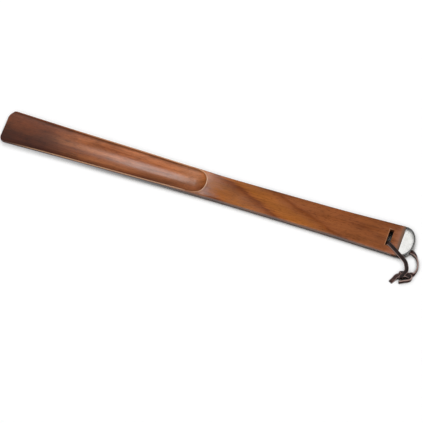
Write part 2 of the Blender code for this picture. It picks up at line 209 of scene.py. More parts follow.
WRAP_AND_TAIL = (
    (2.8, -2.2, 6.75, 1, 0, 0),
    (0.7, 0.6, 6.8, 1, 0, 0),
    (-1.7, 2.9, 6.45, 1, 0, 0),
    (-2.8, 4.2, 5.2, 1, 0, 0),
    (-3.2, 4.5, 3.4, 1, 0, 0),
    (-3.2, 3.9, 1.75, 1, 0, 0),
    (-3, 2.4, 1.02, 1, 0, 0),
    (-3, 0.6, 1, 1, 0, 0),
    (-2.9, -1.5, 1.02, 1, 0, 0),
    (-2.6, -3, 1.75, 1, 0, 0),
    (-2.2, -3.4, 3.3, 1, 0, 0),
    (-1.5, -2.5, 4.6, 1, 0, 0),
    (-0.4, -0.8, 4.9, 1, 0, 0),
    (1.1, 0.5, 4.9, 1, 0, 0),
    (3.3, 1.6, 4.85, 0.95, -0.25, 0),
    (5.8, 2.7, 4.8, 0.8, -0.55, 0.15),
    (7.5, 3.8, 4.25, 0.55, -0.55, 0.6),
    (8.3, 5.5, 3.4, 0.3, -0.2, 0.9),
    (7.2, 7.1, 2.75, 0.05, 0, 1),
    (4.4, 7.9, 2.6, 0, 0, 1),
    (1, 8.3, 2.6, 0, 0, 1),
    (-2.4, 8.9, 2.6, 0, 0, 1),
    (-5.6, 9.5, 2.6, 0, 0, 1),
)


def placed(rows, origin, axes):
    """Turns rows of place and width direction from a frame of its own into metres."""
    rows = np.array(rows, float)
    places = (np.array(origin) + rows[:, :3] @ axes) * MM
    return np.hstack([places, rows[:, 3:] @ axes])


cos_turn, sin_turn = math.cos(KNOT_TURN), math.sin(KNOT_TURN)
knot_axes = np.array([[cos_turn, sin_turn, 0.0], [sin_turn, -cos_turn, 0.0], [0.0, 0.0, 1.0]])
slot_origin = (SLOT_X, 0.0, 0.0)
route = np.vstack([
    placed(TAIL_AND_CORE, KNOT_ORIGIN, knot_axes),
    placed(LOWER_LEG, slot_origin, np.eye(3)),
    placed(UPPER_LEG, slot_origin, np.eye(3)),
    placed(WRAP_AND_TAIL, KNOT_ORIGIN, knot_axes),
])
SPLIT_ROW = len(TAIL_AND_CORE) + len(LOWER_LEG) - 1
print("route points", len(route))

# %% [markdown]
# ## The thong
# The strip's section is a rounded rectangle carried along the route. Where the strip is bent
# edgeways on the table, its section stays in line with the given width and is stretched a
# little, as a folded lace is. The lace leaves the slot twice, so it is made as two cords that
# meet inside the slot. A point attribute tells the smooth grain side from the rough one.

# %% Sections of the lace
LACE_WIDTH = 4.5
LACE_THICKNESS = 1.4
LACE_CORNER = 0.35
LACE_STEP = 0.45
LACE_MAX_STRETCH = 1.3
LACE_CORNER_POINTS = 4


def cubic_between(values, slopes, knots, at):
    """Cubics from knot to knot that keep each knot's row of values and of slopes."""
    i = np.clip(np.searchsorted(knots, at, side="right") - 1, 0, len(knots) - 2)
    span = (knots[i + 1] - knots[i])[..., None]
    t = (at - knots[i])[..., None] / span
    start = (1 + 2 * t) * (1 - t) ** 2 * values[i] + t * (1 - t) ** 2 * span * slopes[i]
    end = t * t * (3 - 2 * t) * values[i + 1] + t * t * (t - 1) * span * slopes[i + 1]
    return start + end


def smooth_through(values, knots, at):
    """Cubic through rows of values: at each knot its slope is the mean of both chords."""
    chords = np.diff(values, axis=0) / np.diff(knots)[:, None]
    slopes = np.vstack([chords[:1], (chords[1:] + chords[:-1]) / 2, chords[-1:]])
    return cubic_between(values, slopes, knots, at)


def unit(rows):
    """Rows of vectors brought to length one."""
    return rows / np.linalg.norm(rows, axis=1)[:, None]


def length_of(line):
    """Length of a line through points."""
    return float(np.linalg.norm(np.diff(line, axis=0), axis=1).sum())


def lace_outline():
    """Rounded rectangle as (across, thick) pairs in metres, arc by arc round its corners."""
    arcs = []
    for quarter, sides in enumerate(((1, 1), (-1, 1), (-1, -1), (1, -1))):
        turns = quarter_turn(LACE_CORNER_POINTS) + quarter * math.pi / 2
        middle = np.array(sides) * (np.array([LACE_WIDTH, LACE_THICKNESS]) / 2 - LACE_CORNER)
        arcs.append(middle + LACE_CORNER * np.column_stack([np.cos(turns), np.sin(turns)]))
    return np.concatenate(arcs) * MM


def lace_sections():
    """Middles and section rings along the whole route, and the ring where the legs meet."""
    steps = np.linalg.norm(np.diff(route[:, :3], axis=0), axis=1)
    knots = np.concatenate([[0.0], np.cumsum(steps)])
    before = np.linspace(0.0, knots[SPLIT_ROW], int(knots[SPLIT_ROW] / (LACE_STEP * MM)))
    rest = int((knots[-1] - knots[SPLIT_ROW]) / (LACE_STEP * MM))
    at = np.concatenate([before, np.linspace(knots[SPLIT_ROW], knots[-1], rest)[1:]])
    centres = smooth_through(route[:, :3], knots, at)
    across = unit(smooth_through(unit(route[:, 3:]), knots, at))
    along = unit(np.gradient(centres, axis=0))
    normal = np.cross(along, across)
    slant = np.linalg.norm(normal, axis=1)[:, None]
    stretch = np.minimum(1.0 / slant, LACE_MAX_STRETCH)
    outline = lace_outline()
    wide = (across * stretch)[:, None, :] * outline[None, :, 0, None]
    thick = (normal / slant)[:, None, :] * outline[None, :, 1, None]
    return centres, centres[:, None, :] + wide + thick, len(before) - 1


centres, rings, split = lace_sections()
print("lace length in mm", round(length_of(centres) / MM, 1))


def keep_on_points(piece, label, values):
    """Keeps a number for each point of a piece, for its material to read."""
    attribute = piece.data.attributes.new(label, "FLOAT", "POINT")
    attribute.data.foreach_set("value", values.astype(np.float32))


def lace_piece(name, first, last):
    """One leg of the lace, both ends closed; its points keep which side and edge they lie on."""
    part = rings[first:last + 1]
    piece = make_piece(name, [grid_patch(part, closed=True)], "thong", part.shape[1])
    across, thick = lace_outline().T / (np.array([[LACE_WIDTH], [LACE_THICKNESS]]) / 2 * MM)
    keep_on_points(piece, "grain_side", np.tile(thick, len(part)))
    keep_on_points(piece, "across", np.tile(across, len(part)))
    return piece


lower_thong = lace_piece("thong_lower_leg", 0, split)
upper_thong = lace_piece("thong_upper_leg", split, len(rings) - 1)

# %% Hide the imported thong
for leg, path in ((lower_thong, centres[split::-1]), (upper_thong, centres[split:])):
    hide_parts("leather_thong")

# %% [markdown]
# ## The horn's outline
# The plan outline is one smooth curve through a few measured half widths, with the tip's two
# corners rounded. The blade has a thin keeled section, the handle a flat one, and the section
# turns from one to the other over the waist.

# %% Sizes of the wood in millimetres
TIP_X, APEX_X = -240.0, 240.0
HALF_WIDTHS = ((-240, 20.9), (-160, 18.8), (-90, 17.6), (-20, 15.9), (20, 15.5),
               (90, 16), (150, 16.7), (205, 18.5), (226, 19.2))
TIP_CORNER = 9.0
TIP_THICKNESS = 2.0
NOSE_ROUND, LEAST_ROUND = 0.8, 1e-6
BLADE_END_X, HANDLE_START_X = -70.0, 5.0
BELLY_END_X, BELLY_LENGTH, BELLY_POWER = -40.0, 200.0, 1.6
SIDE_LOW_Z = TOP_Z - 2.4
KEEL_HALF_WIDTH = 3.0
BLADE_TOP_ROUND, HANDLE_TOP_ROUND, BOTTOM_ROUND = 0.5, 1.5, 3.0
TOP_ROUND_START_X, TOP_ROUND_END_X = -18.0, 14.0
LIFT_START_X, LIFT_END_X, UNDERSIDE_LIFT = 175.0, 205.0, 2.0
RIM_WIDTH, LIP = 1.0, 0.4
SCOOP_START_DEPTH, SCOOP_DEPTH, DEEPENING_LENGTH = 3.8, 5.4, 80.0
SCOOP_POWER = 2.4
SCOOP_TURN_X, SCOOP_END_X, RUNOUT_LENGTH = -18.0, -2.0, 14.0
JOINT_X, JOINT_GAP = 225.1, 0.3
STRIP = 0.05


def ease(value, start, end):
    """Goes from 0 at start to 1 at end with level ends."""
    t = np.clip((value - start) / (end - start), 0.0, 1.0)
    return t * t * (3.0 - 2.0 * t)


def half_width(x):
    """Cubic through the stations; each slope is the harmonic mean of its neighbours'."""
    xs, ys = np.array(HALF_WIDTHS).T
    chords = np.diff(ys) / np.diff(xs)
    product, both = chords[:-1] * chords[1:], chords[:-1] + chords[1:]
    inner = np.where(product > 0, 2 * product / np.where(both == 0, 1.0, both), 0.0)
    slopes = np.concatenate([chords[:1], inner, chords[-1:]])
    return cubic_between(ys[:, None], slopes[:, None], xs, np.clip(x, xs[0], xs[-1]))[..., 0]


def edge_width(x):
    """Half width with the tip's corner arcs taken off."""
    reach = np.minimum(x - TIP_X - TIP_CORNER, 0.0)
    return half_width(x) - TIP_CORNER + np.sqrt(TIP_CORNER**2 - reach**2)


def inset_from_outline(x, y):
    """Distance inward from the outline, measured from the corner arcs' centres."""
    beyond = np.maximum(np.abs(y) - (half_width(x) - TIP_CORNER), 0.0)
    return TIP_CORNER - np.hypot(np.minimum(x - TIP_X - TIP_CORNER, 0.0), beyond)


def round_off(inset, radius):
    """Drop of a quarter-circle edge at an inset from it."""
    return radius - np.sqrt(radius**2 - np.clip(radius - inset, 0.0, radius) ** 2)


def keel_z(x):
    """Height of the underside: raised at the tip by a power curve, and again at the cap."""
    tip_lift = TOP_Z - SCOOP_START_DEPTH - TIP_THICKNESS
    share = np.clip((BELLY_END_X - x) / BELLY_LENGTH, 0.0, 1.0)
    return tip_lift * share**BELLY_POWER + UNDERSIDE_LIFT * ease(x, LIFT_START_X, LIFT_END_X)


def top_round(x):
    """Radius of the top edge, largest at the nose and on the handle."""
    nose = (NOSE_ROUND - BLADE_TOP_ROUND) * (1.0 - ease(x, TIP_X, TIP_X + TIP_CORNER))
    handle = (HANDLE_TOP_ROUND - BLADE_TOP_ROUND) * ease(x, TOP_ROUND_START_X, TOP_ROUND_END_X)
    return BLADE_TOP_ROUND + nose + handle


def wall_width(x):
    """Half width of the scoop at the foot of its rounded lip."""
    return half_width(x) - RIM_WIDTH - LIP / 2


def scoop_depth(x):
    """Depth of the scoop at mid width."""
    share = ease(x, TIP_X, TIP_X + DEEPENING_LENGTH)
    return SCOOP_START_DEPTH + (SCOOP_DEPTH - SCOOP_START_DEPTH) * share


def scoop_drop(x, y):
    """Depth below the top face: a superellipse bowl inside, then a quarter-circle lip."""
    wall = wall_width(x)
    share = np.clip(np.abs(y) / wall, 0.0, 1.0)
    bowl = LIP + (scoop_depth(x) - LIP) * (1.0 - share**SCOOP_POWER) ** (1.0 / SCOOP_POWER)
    lip = round_off(np.abs(y) - wall, LIP)
    return np.where(np.abs(y) < wall, bowl, lip)


# %% Stations along the horn
SLOT_WIDTH, SLOT_LENGTH, SLOT_ROUND = 4.3, 20.2, 0.95
JOINT_CHAMFER = 0.25
WAIST_END_X = 20.0
slot_half_x = SLOT_WIDTH / 2 + SLOT_ROUND + STRIP
slot_half_y = SLOT_LENGTH / 2 + SLOT_ROUND + STRIP
tip_x = TIP_X + TIP_CORNER * (1.0 - np.cos(quarter_turn(25)))
blade_x = np.linspace(TIP_X + TIP_CORNER, SCOOP_TURN_X, 151)[1:]
waist_x = np.linspace(SCOOP_TURN_X, WAIST_END_X, 21)[1:]
handle_x = np.linspace(WAIST_END_X, LIFT_START_X, 46)[1:]
lift_x = np.linspace(LIFT_START_X, LIFT_END_X, 17)[1:]
slot_x = np.array([SLOT_X - slot_half_x, SLOT_X + slot_half_x])
joint_x = np.array([JOINT_X - JOINT_CHAMFER - STRIP, JOINT_X - JOINT_CHAMFER])
trough_x = np.concatenate([tip_x, blade_x])
shell_x = np.concatenate([trough_x, waist_x, handle_x, lift_x, slot_x, joint_x])
print("stations", len(shell_x))

# %% [markdown]
# ## Outside, trough and rounded end
# Three grids make the wood. The outside runs from the top edge round the belly. The trough
# fills the blade between both top edges, out through the thin tip. The scoop's far end is a
# bowl whose lip turns in a half circle, so its lip is carried along that curve.

# %% Outside of the wood
def outside_half(x):
    """Columns from the top edge down the side to the keel, for one side of the horn."""
    x = x[:, None]
    width, edge, radius, keel = half_width(x), edge_width(x), top_round(x), keel_z(x)
    turns = quarter_turn(8)[None, :]
    y_top = np.hstack([edge - radius - STRIP, edge - radius + radius * np.sin(turns)])
    z_top = TOP_Z - round_off(inset_from_outline(x, y_top), radius)
    z_top = np.where(x <= SCOOP_TURN_X, z_top - scoop_drop(x, y_top), z_top)
    share = ease(x, BLADE_END_X, HANDLE_START_X)
    side_low = SIDE_LOW_Z + (keel + BOTTOM_ROUND - SIDE_LOW_Z) * share
    flat = KEEL_HALF_WIDTH + (width - BOTTOM_ROUND - KEEL_HALF_WIDTH) * share
    widest = np.arcsin(np.clip((edge - flat) / (width - flat), 0.0, 1.0))
    angle = widest * np.linspace(1.0, 0.0, 30)[None, :]
    y_low = np.hstack([flat + (width - flat) * np.sin(angle), flat - STRIP])
    z_low = np.hstack([side_low - (side_low - keel) * np.cos(angle), keel])
    nose = NOSE_ROUND * (1.0 - ease(x, TIP_X, TIP_X + TIP_CORNER)) + LEAST_ROUND
    z_low = z_low + round_off(inset_from_outline(x, y_low), nose)
    middle = (z_top[:, -1:] + z_low[:, :1]) / 2
    y = np.hstack([y_top, edge, y_low])
    return y, np.hstack([z_top, middle, z_low])


shell_y, shell_z = outside_half(shell_x)
near_side = points_at(shell_x[:, None], -shell_y, shell_z)
far_side = points_at(shell_x[:, None], shell_y, shell_z)
outside = [grid_patch(near_side), grid_patch(far_side)]
print("outside rows and columns", shell_y.shape)

# %% Trough of the blade
LIP_POINTS = 6
FLOOR_POINTS = 37
LAND_START, LAND_GROWTH, LAND_GROWTH_LENGTH = 0.1, 0.5, 8.0


def trough_columns(x):
    """Half widths of the trough's columns: floor, lip and the land beside the edge."""
    wall = wall_width(x)
    floor = wall * np.sin(quarter_turn(FLOOR_POINTS)[None, :]) ** (2.0 / SCOOP_POWER)
    lips = wall + LIP * (1.0 - np.cos(quarter_turn(LIP_POINTS)[None, 1:]))
    border = half_width(x) - top_round(x) - STRIP
    land = wall + LIP + LAND_START
    return np.hstack([floor, lips, land, land + STRIP, border])


def trough(x):
    """Trough columns, drawn in with the tip's corners, at the depth of scoop and nose."""
    x = x[:, None]
    border = edge_width(x) - top_round(x) - STRIP
    y = trough_columns(x)
    y = y * border / y[:, -1:]
    y = np.hstack([-y[:, :0:-1], y])
    drop = scoop_drop(x, y) + round_off(inset_from_outline(x, y), top_round(x))
    return points_at(x, y, TOP_Z - drop)


trough_points = trough(trough_x)
tip_face = np.concatenate([near_side[0][::-1], trough_points[0][1:-1], far_side[0]])
wood = outside + [grid_patch(trough_points), flat_patch(tip_face)]
print("trough rows and columns", trough_points.shape[:2])

# %% Rounded end of the scoop
END_ROWS = 34


def scoop_end(share):
    """Places along the scoop's end and its half width there, by share of the end's length."""
    length = SCOOP_END_X - SCOOP_TURN_X - LIP / 2
    x = SCOOP_TURN_X + length * share
    shrink = np.maximum(1.0 - share**SCOOP_POWER, 0.0) ** (1.0 / SCOOP_POWER)
    past = np.clip((x - SCOOP_END_X + RUNOUT_LENGTH) / (RUNOUT_LENGTH - LIP / 2), 0.0, 1.0)
    return x, wall_width(x) * shrink, (scoop_depth(x) - LIP) * np.sqrt(1.0 - past**2)


def superellipse(power, count):
    """Shares across and outward along half a superellipse, from side to side."""
    turns = np.linspace(-math.pi / 2, math.pi / 2, count)[None, :]
    across = np.sign(turns) * np.abs(np.sin(turns)) ** (2.0 / power)
    return across, np.maximum(np.cos(turns), 0.0) ** (2.0 / power)


def scoop_end_bowl():
    """Superellipse sections that shrink to a point at the end of the scoop."""
    x, wall, depth = scoop_end(np.sin(quarter_turn(END_ROWS))[:, None])
    across, down = superellipse(SCOOP_POWER, 2 * FLOOR_POINTS - 1)
    return points_at(x, wall * across, TOP_Z - (LIP + depth * down))


def scoop_end_lip():
    """Quarter-circle lip and a flat strip, carried outward square to the end's rim."""
    x, wall, depth = scoop_end(np.sin(quarter_turn(END_ROWS)))
    rim = np.column_stack([np.concatenate([x, x[-2::-1]]), np.concatenate([-wall, wall[-2::-1]])])
    along = unit(np.gradient(rim, axis=0))
    outward = np.column_stack([along[:, 1], -along[:, 0]])
    outward[0], outward[-1] = (0.0, -1.0), (0.0, 1.0)
    turns = quarter_turn(LIP_POINTS)
    growth = LAND_GROWTH * ease(rim[:, :1], SCOOP_TURN_X, SCOOP_TURN_X + LAND_GROWTH_LENGTH)
    land = LIP + LAND_START + growth
    offsets = np.hstack([np.tile(LIP * (1.0 - np.cos(turns)), (len(rim), 1)), land, land + STRIP])
    drops = np.concatenate([LIP * (1.0 - np.sin(turns)), [0.0, 0.0]])
    plan = rim[:, None, :] + outward[:, None, :] * offsets[..., None]
    return points_at(plan[..., 0], plan[..., 1], TOP_Z - drops[None, :])


end_lip = scoop_end_lip()
wood += [grid_patch(scoop_end_bowl()), grid_patch(end_lip)]
print("lip rows and columns", end_lip.shape[:2])

# %% [markdown]
# ## Flat faces, slot and bores
# The handle's top is one flat polygon from the scoop's lip to the slot, and three more round
# the slot. The slot's edges are rounded over, top and bottom. The end that carries the cap
# has two blind bores for the dowel pins, so that face is cut into an upper and a lower half
# along the bores.

# %% Top and bottom faces
first_handle = len(trough_x) - 1
slot_in, slot_out = len(shell_x) - 4, len(shell_x) - 3
top_near, top_far = near_side[:, 0], far_side[:, 0]
low_near, low_far = near_side[:, -1], far_side[:, -1]


def slot_corner(x_side, y_side, z):
    """Corner of the slot's opening on a face, outside its rounded edge."""
    return points_at(SLOT_X + x_side * slot_half_x, y_side * slot_half_y, z)


def face_round_slot(near, far, z):
    """Polygons beside and past the slot on one face; the part before it is made apart."""
    corners = {(i, j): slot_corner(i, j, z) for i in (-1, 1) for j in (-1, 1)}
    beside_near = [near[slot_in], near[slot_out], corners[1, -1], corners[-1, -1]]
    beside_far = [far[slot_in], far[slot_out], corners[1, 1], corners[-1, 1]]
    past = [near[slot_out], near[-2], far[-2], far[slot_out], corners[1, 1], corners[1, -1]]
    last = [near[-2], near[-1], far[-1], far[-2]]
    return [flat_patch(loop) for loop in (beside_near, beside_far, past, last)]


top_loop = np.concatenate([
    top_near[first_handle:slot_in + 1],
    [slot_corner(-1, -1, TOP_Z), slot_corner(-1, 1, TOP_Z)],
    top_far[first_handle:slot_in + 1][::-1],
    end_lip[::-1, -1],
])
before_slot = [low_near[slot_in - 1], low_near[slot_in], slot_corner(-1, -1, UNDERSIDE_LIFT),
               slot_corner(-1, 1, UNDERSIDE_LIFT), low_far[slot_in], low_far[slot_in - 1]]
keel = np.stack([low_near[:slot_in], low_far[:slot_in]], axis=1)
wood += [flat_patch(top_loop), flat_patch(before_slot), grid_patch(keel)]
wood += face_round_slot(top_near, top_far, TOP_Z)
wood += face_round_slot(low_near, low_far, UNDERSIDE_LIFT)
print("patches so far", len(wood))

# %% Slot walls
def slot_walls():
    """Rectangles that draw in along a quarter circle, go straight down and flare again."""
    turns = quarter_turn(6)
    offset = np.concatenate([[SLOT_ROUND + STRIP], SLOT_ROUND * (1.0 - np.sin(turns))])
    drop = np.concatenate([[0.0], SLOT_ROUND * (1.0 - np.cos(turns))])
    grow = np.concatenate([offset, offset[::-1]])[:, None]
    z = np.concatenate([TOP_Z - drop, (UNDERSIDE_LIFT + drop)[::-1]])[:, None]
    corner_x, corner_y = np.array([-1, 1, 1, -1])[None, :], np.array([-1, -1, 1, 1])[None, :]
    x = SLOT_X + corner_x * (SLOT_WIDTH / 2 + grow)
    return points_at(x, corner_y * (SLOT_LENGTH / 2 + grow), z)


wood.append(grid_patch(slot_walls(), closed=True))

# %% Chamfered end with two bores
PIN_RADIUS, PIN_SPREAD, PIN_LENGTH, PIN_IN_CAP, PIN_CLEARANCE = 1.5, 14.0, 20.0, 7.0, 0.3
BORE_POINTS = 32
MIDDLE_Z = (TOP_Z + UNDERSIDE_LIFT) / 2


def bore_circle(x, y_middle):
    """Circle of a bore, starting on its -Y side and going over the top."""
    turns = math.pi - np.arange(BORE_POINTS) * (2 * math.pi / BORE_POINTS)
    radius = PIN_RADIUS + PIN_CLEARANCE
    return points_at(x, y_middle + radius * np.cos(turns), MIDDLE_Z + radius * np.sin(turns))


def bored_end(near, far, face_x, bore_end_x):
    """Closes a section: chamfer, flat face in two halves round the bores, and the bores."""
    loop = np.concatenate([near, far[::-1]])
    inner = loop.copy()
    inner[:, 0] = face_x * MM
    inner[:, 1] -= np.sign(loop[:, 1]) * JOINT_CHAMFER * MM
    drawn_in = 1.0 - 2 * JOINT_CHAMFER / (TOP_Z - UNDERSIDE_LIFT)
    inner[:, 2] = MIDDLE_Z * MM + (loop[:, 2] - MIDDLE_Z * MM) * drawn_in
    count, half = len(loop), BORE_POINTS // 2
    side = int(np.argmin(np.abs(near[:, 2] - MIDDLE_Z * MM)))
    near_bore, far_bore = (bore_circle(face_x, y) for y in (-PIN_SPREAD, PIN_SPREAD))
    upper = [inner[count - 1 - side:], inner[:side + 1], near_bore[:half + 1], far_bore[:half + 1]]
    lower = [inner[side:count - side], far_bore[half:], far_bore[:1], near_bore[half:],
             near_bore[:1]]
    patches = [grid_patch(np.stack([loop, inner]), closed=True)]
    patches += [flat_patch(np.concatenate(upper)), flat_patch(np.concatenate(lower))]
    for y, mouth in ((-PIN_SPREAD, near_bore), (PIN_SPREAD, far_bore)):
        end = bore_circle(bore_end_x, y)
        patches += [grid_patch(np.stack([mouth, end]), closed=True), flat_patch(end)]
    return patches


pin_cap_end = JOINT_X + JOINT_GAP + PIN_IN_CAP
wood += bored_end(near_side[-1], far_side[-1], JOINT_X, pin_cap_end - PIN_LENGTH - PIN_CLEARANCE)
horn = make_piece("horn_wood", wood, "horn")
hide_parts("horn_body")

# %% [markdown]
# ## The end cap
# The cap is a half-round block of solid metal with the handle's section. Its layers are
# half superellipses, drawn in toward the top and the bottom as the edges round over, and its
# joint face has the same chamfer and bores as the wood, so that a fine groove shows between
# them.

# %% Cap
CAP_POWER = 2.1
CAP_POINTS = 97
cap_start = JOINT_X + JOINT_GAP
cap_half_width = float(half_width(JOINT_X))


def cap_layer(inset, z):
    """Half superellipse drawn in by an inset; its ends stand a chamfer off the joint."""
    across, out = superellipse(CAP_POWER, CAP_POINTS)
    x = cap_start + np.maximum((APEX_X - cap_start - inset) * out, JOINT_CHAMFER)
    return points_at(x, (cap_half_width - inset) * across, z)


bottom_turns, top_turns = quarter_turn(11), quarter_turn(9)
inset = np.concatenate([[BOTTOM_ROUND + STRIP], BOTTOM_ROUND * (1.0 - np.sin(bottom_turns)),
                        HANDLE_TOP_ROUND * (1.0 - np.cos(top_turns)), [HANDLE_TOP_ROUND + STRIP]])
height = np.concatenate([[UNDERSIDE_LIFT],
                         UNDERSIDE_LIFT + BOTTOM_ROUND * (1.0 - np.cos(bottom_turns)),
                         TOP_Z - HANDLE_TOP_ROUND * (1.0 - np.sin(top_turns)), [TOP_Z]])
layers = cap_layer(inset[:, None], height[:, None])
metal = [grid_patch(layers), flat_patch(layers[0]), flat_patch(layers[-1])]
metal += bored_end(layers[::-1, 0], layers[::-1, -1], cap_start, pin_cap_end + PIN_CLEARANCE)
cap = make_piece("cap_metal", metal, "horn")
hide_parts("end_cap")

# %% [markdown]
# ## Helpers for materials
# Every finish is one Principled surface whose colour, gloss and relief change with the place
# on the piece. Gloss that drifts between two values, as on any handled thing, is one group,
# because all the finishes use it.

# %% Nodes
def new_material(name):
    """Principled material with its tree, place on the piece, shader and link function."""
    material = bpy.data.materials.new(name)
    material.use_nodes = True
    tree = material.node_tree
    spot = tree.nodes.new("ShaderNodeTexCoord").outputs["Object"]
    return material, tree, spot, tree.nodes["Principled BSDF"], tree.links.new


def coat(piece, material):
    """Gives a piece its material."""
    piece.data.materials.append(material)
    print(piece.name, "has", material.name, "of", len(material.node_tree.nodes), "nodes")


def add_node(tree, kind, inputs=None, **settings):
    """Adds a node; an input is given a number, a colour or the socket that feeds it."""
    node = tree.nodes.new(kind)
    for key, value in settings.items():
        setattr(node, key, value)
    for key, value in (inputs or {}).items():
        if isinstance(value, bpy.types.NodeSocket):
            tree.links.new(value, node.inputs[key])
        else:
            node.inputs[key].default_value = value
    return node


def maths(tree, operation, *values):
    """One Math node and its result."""
    return add_node(tree, "ShaderNodeMath", dict(enumerate(values)), operation=operation).outputs[0]


def added(tree, *values):
    """Sum of two or more values."""
    result = values[0]
    for value in values[1:]:
        result = maths(tree, "ADD", result, value)
    return result


# %% Places and noise
def kept(tree, label):
    """Number kept on the points of the piece."""
    return add_node(tree, "ShaderNodeAttribute", attribute_name=label).outputs["Fac"]


def scaled(tree, vector, scale):
    """Stretches coordinates, to stretch the pattern the other way."""
    return add_node(tree, "ShaderNodeMapping", {"Vector": vector, "Scale": scale}).outputs[0]


def noise(tree, vector, scale, detail=3.0, roughness=0.5, distortion=0.0):
    """Noise value between 0 and 1 at a vector; three scales stretch it."""
    if isinstance(scale, tuple):
        vector, scale = scaled(tree, vector, scale), 1.0
    inputs = {"Vector": vector, "Scale": scale, "Detail": detail, "Roughness": roughness,
              "Distortion": distortion}
    return add_node(tree, "ShaderNodeTexNoise", inputs).outputs["Fac"]


def waver(tree, value, size):
    """Turns a noise into a shift of up to half a size either way."""
    return maths(tree, "MULTIPLY", maths(tree, "SUBTRACT", value, 0.5), size)


def from_to(tree, value, low, high, start=0.0, end=1.0):
    """Goes from start to end as the value goes from low to high."""
    inputs = {"Value": value, "From Min": low, "From Max": high, "To Min": start, "To Max": end}
    return add_node(tree, "ShaderNodeMapRange", inputs).outputs["Result"]


def between(tree, place, low, high, start=0.0, end=1.0):
    """Goes from start to end as a place goes from low to high, both in mm."""
    return from_to(tree, place, low * MM, high * MM, start, end)


def band(tree, place, start, full, fade, end):
    """Rises from start to full and falls from fade to end, all in mm."""
    return maths(tree, "MULTIPLY", between(tree, place, start, full),
                 between(tree, place, fade, end, 1.0, 0.0))


# %% Colours and relief
def rgb(red, green, blue):
    """Colour from screen values of 0 to 255, as linear light."""
    screen = np.array([red, green, blue]) / 255.0
    linear = np.where(screen <= 0.04045, screen / 12.92, ((screen + 0.055) / 1.055) ** 2.4)
    return (*linear.tolist(), 1.0)


def ramp(tree, value, stops):
    """Colour read from (place, colour) stops."""
    node = add_node(tree, "ShaderNodeValToRGB", {"Fac": value})
    elements = node.color_ramp.elements
    elements[0].position, elements[0].color = stops[0]
    elements[1].position, elements[1].color = stops[-1]
    for at, colour in stops[1:-1]:
        elements.new(at).color = colour
    return node.outputs["Color"]


def grey_ramp(tree, value, stops):
    """Grey value read from (place, grey) stops."""
    return ramp(tree, value, [(at, (grey, grey, grey, 1.0)) for at, grey in stops])


def mixed(tree, share, first, second, mode="MIX"):
    """Mixes two colours by a share."""
    node = add_node(tree, "ShaderNodeMix", {0: share, 6: first, 7: second},
                    data_type="RGBA", blend_type=mode)
    return node.outputs[2]


def bump(tree, height, strength, distance):
    """Normal that follows a height."""
    inputs = {"Height": height, "Strength": strength, "Distance": distance}
    return add_node(tree, "ShaderNodeBump", inputs).outputs["Normal"]


# %% Group for uneven gloss, used by wood, metal, steel and leather
gloss_group = bpy.data.node_groups.new("uneven_gloss", "ShaderNodeTree")
gloss_group.interface.new_socket("Vector", in_out="INPUT", socket_type="NodeSocketVector")
for label in ("Scale", "Smoothest", "Roughest"):
    gloss_group.interface.new_socket(label, in_out="INPUT", socket_type="NodeSocketFloat")
gloss_group.interface.new_socket("Roughness", in_out="OUTPUT", socket_type="NodeSocketFloat")
group_in = gloss_group.nodes.new("NodeGroupInput")
group_out = gloss_group.nodes.new("NodeGroupOutput")
cloud = noise(gloss_group, group_in.outputs["Vector"], group_in.outputs["Scale"], 4.0, 0.6)
drift = from_to(gloss_group, cloud, 0.3, 0.7,
                group_in.outputs["Smoothest"], group_in.outputs["Roughest"])
gloss_group.links.new(drift, group_out.inputs["Roughness"])


def uneven_gloss(tree, vector, scale, smoothest, roughest):
    """Roughness that drifts between two values, from the shared group."""
    inputs = {"Vector": vector, "Scale": scale, "Smoothest": smoothest, "Roughest": roughest}
    return add_node(tree, "ShaderNodeGroup", inputs, node_tree=gloss_group).outputs["Roughness"]


# %% [markdown]
# ## Varnished walnut
# Painted shade darkens the outer sides and the walls of the slot. The scoop's rims are pale, partly
# as sanded wood and partly as a painted highlight, and the slot's rim on the blade's side carries a
# painted highlight. Both follow the shape and not the grain, so they are kept as attributes of the
# points.

# %% Painted shade on the sides and in the slot, pale rims with a painted highlight
SIDE_SHADE_WIDTH, SIDE_SHADE_DEPTH = (1.0, 4.0), (0.5, 2.0)
SIDE_SHADE_START = 15.0
RIM_END = (-26.0, -20.0)
FAR_RIM_START, NEAR_RIM_START = (-190.0, -120.0), (-235.0, -190.0)
SLOT_SHADE_DEPTH, SLOT_RIM_DEPTH, SLOT_RIM_HIGHLIGHT = (0.2, 1.0), 0.3, 0.6
spots = np.empty(len(horn.data.vertices) * 3)
horn.data.vertices.foreach_get("co", spots)
spots = spots.reshape(-1, 3) / MM
spot_x, spot_y, spot_z = spots.T
from_edge = edge_width(spot_x) - np.abs(spot_y)
below_top = TOP_Z - spot_z
# Painted shade: darker on the outer sides below the top edge, fading in from the tip.
side_shade = (1.0 - ease(from_edge, *SIDE_SHADE_WIDTH)) * ease(below_top, *SIDE_SHADE_DEPTH)
side_shade *= ease(spot_x, TIP_X, TIP_X + SIDE_SHADE_START)
# Pale rims of the scoop, sanded wood and a painted highlight; the far rim's starts further from the
# tip than the near rim's.
on_land = (below_top < LIP + 0.1) & (np.abs(spot_y) > wall_width(spot_x) - 0.01)
rim = np.where(on_land, 1.0 - ease(spot_x, *RIM_END), 0.0)
rim *= np.where(spot_y > 0, ease(spot_x, *FAR_RIM_START), ease(spot_x, *NEAR_RIM_START))


def place_keys(points):
    """One whole number for each point in mm, equal for points in the same thousandth."""
    return np.rint(points * 1e3).astype(np.int64) @ np.array([1 << 40, 1 << 20, 1])
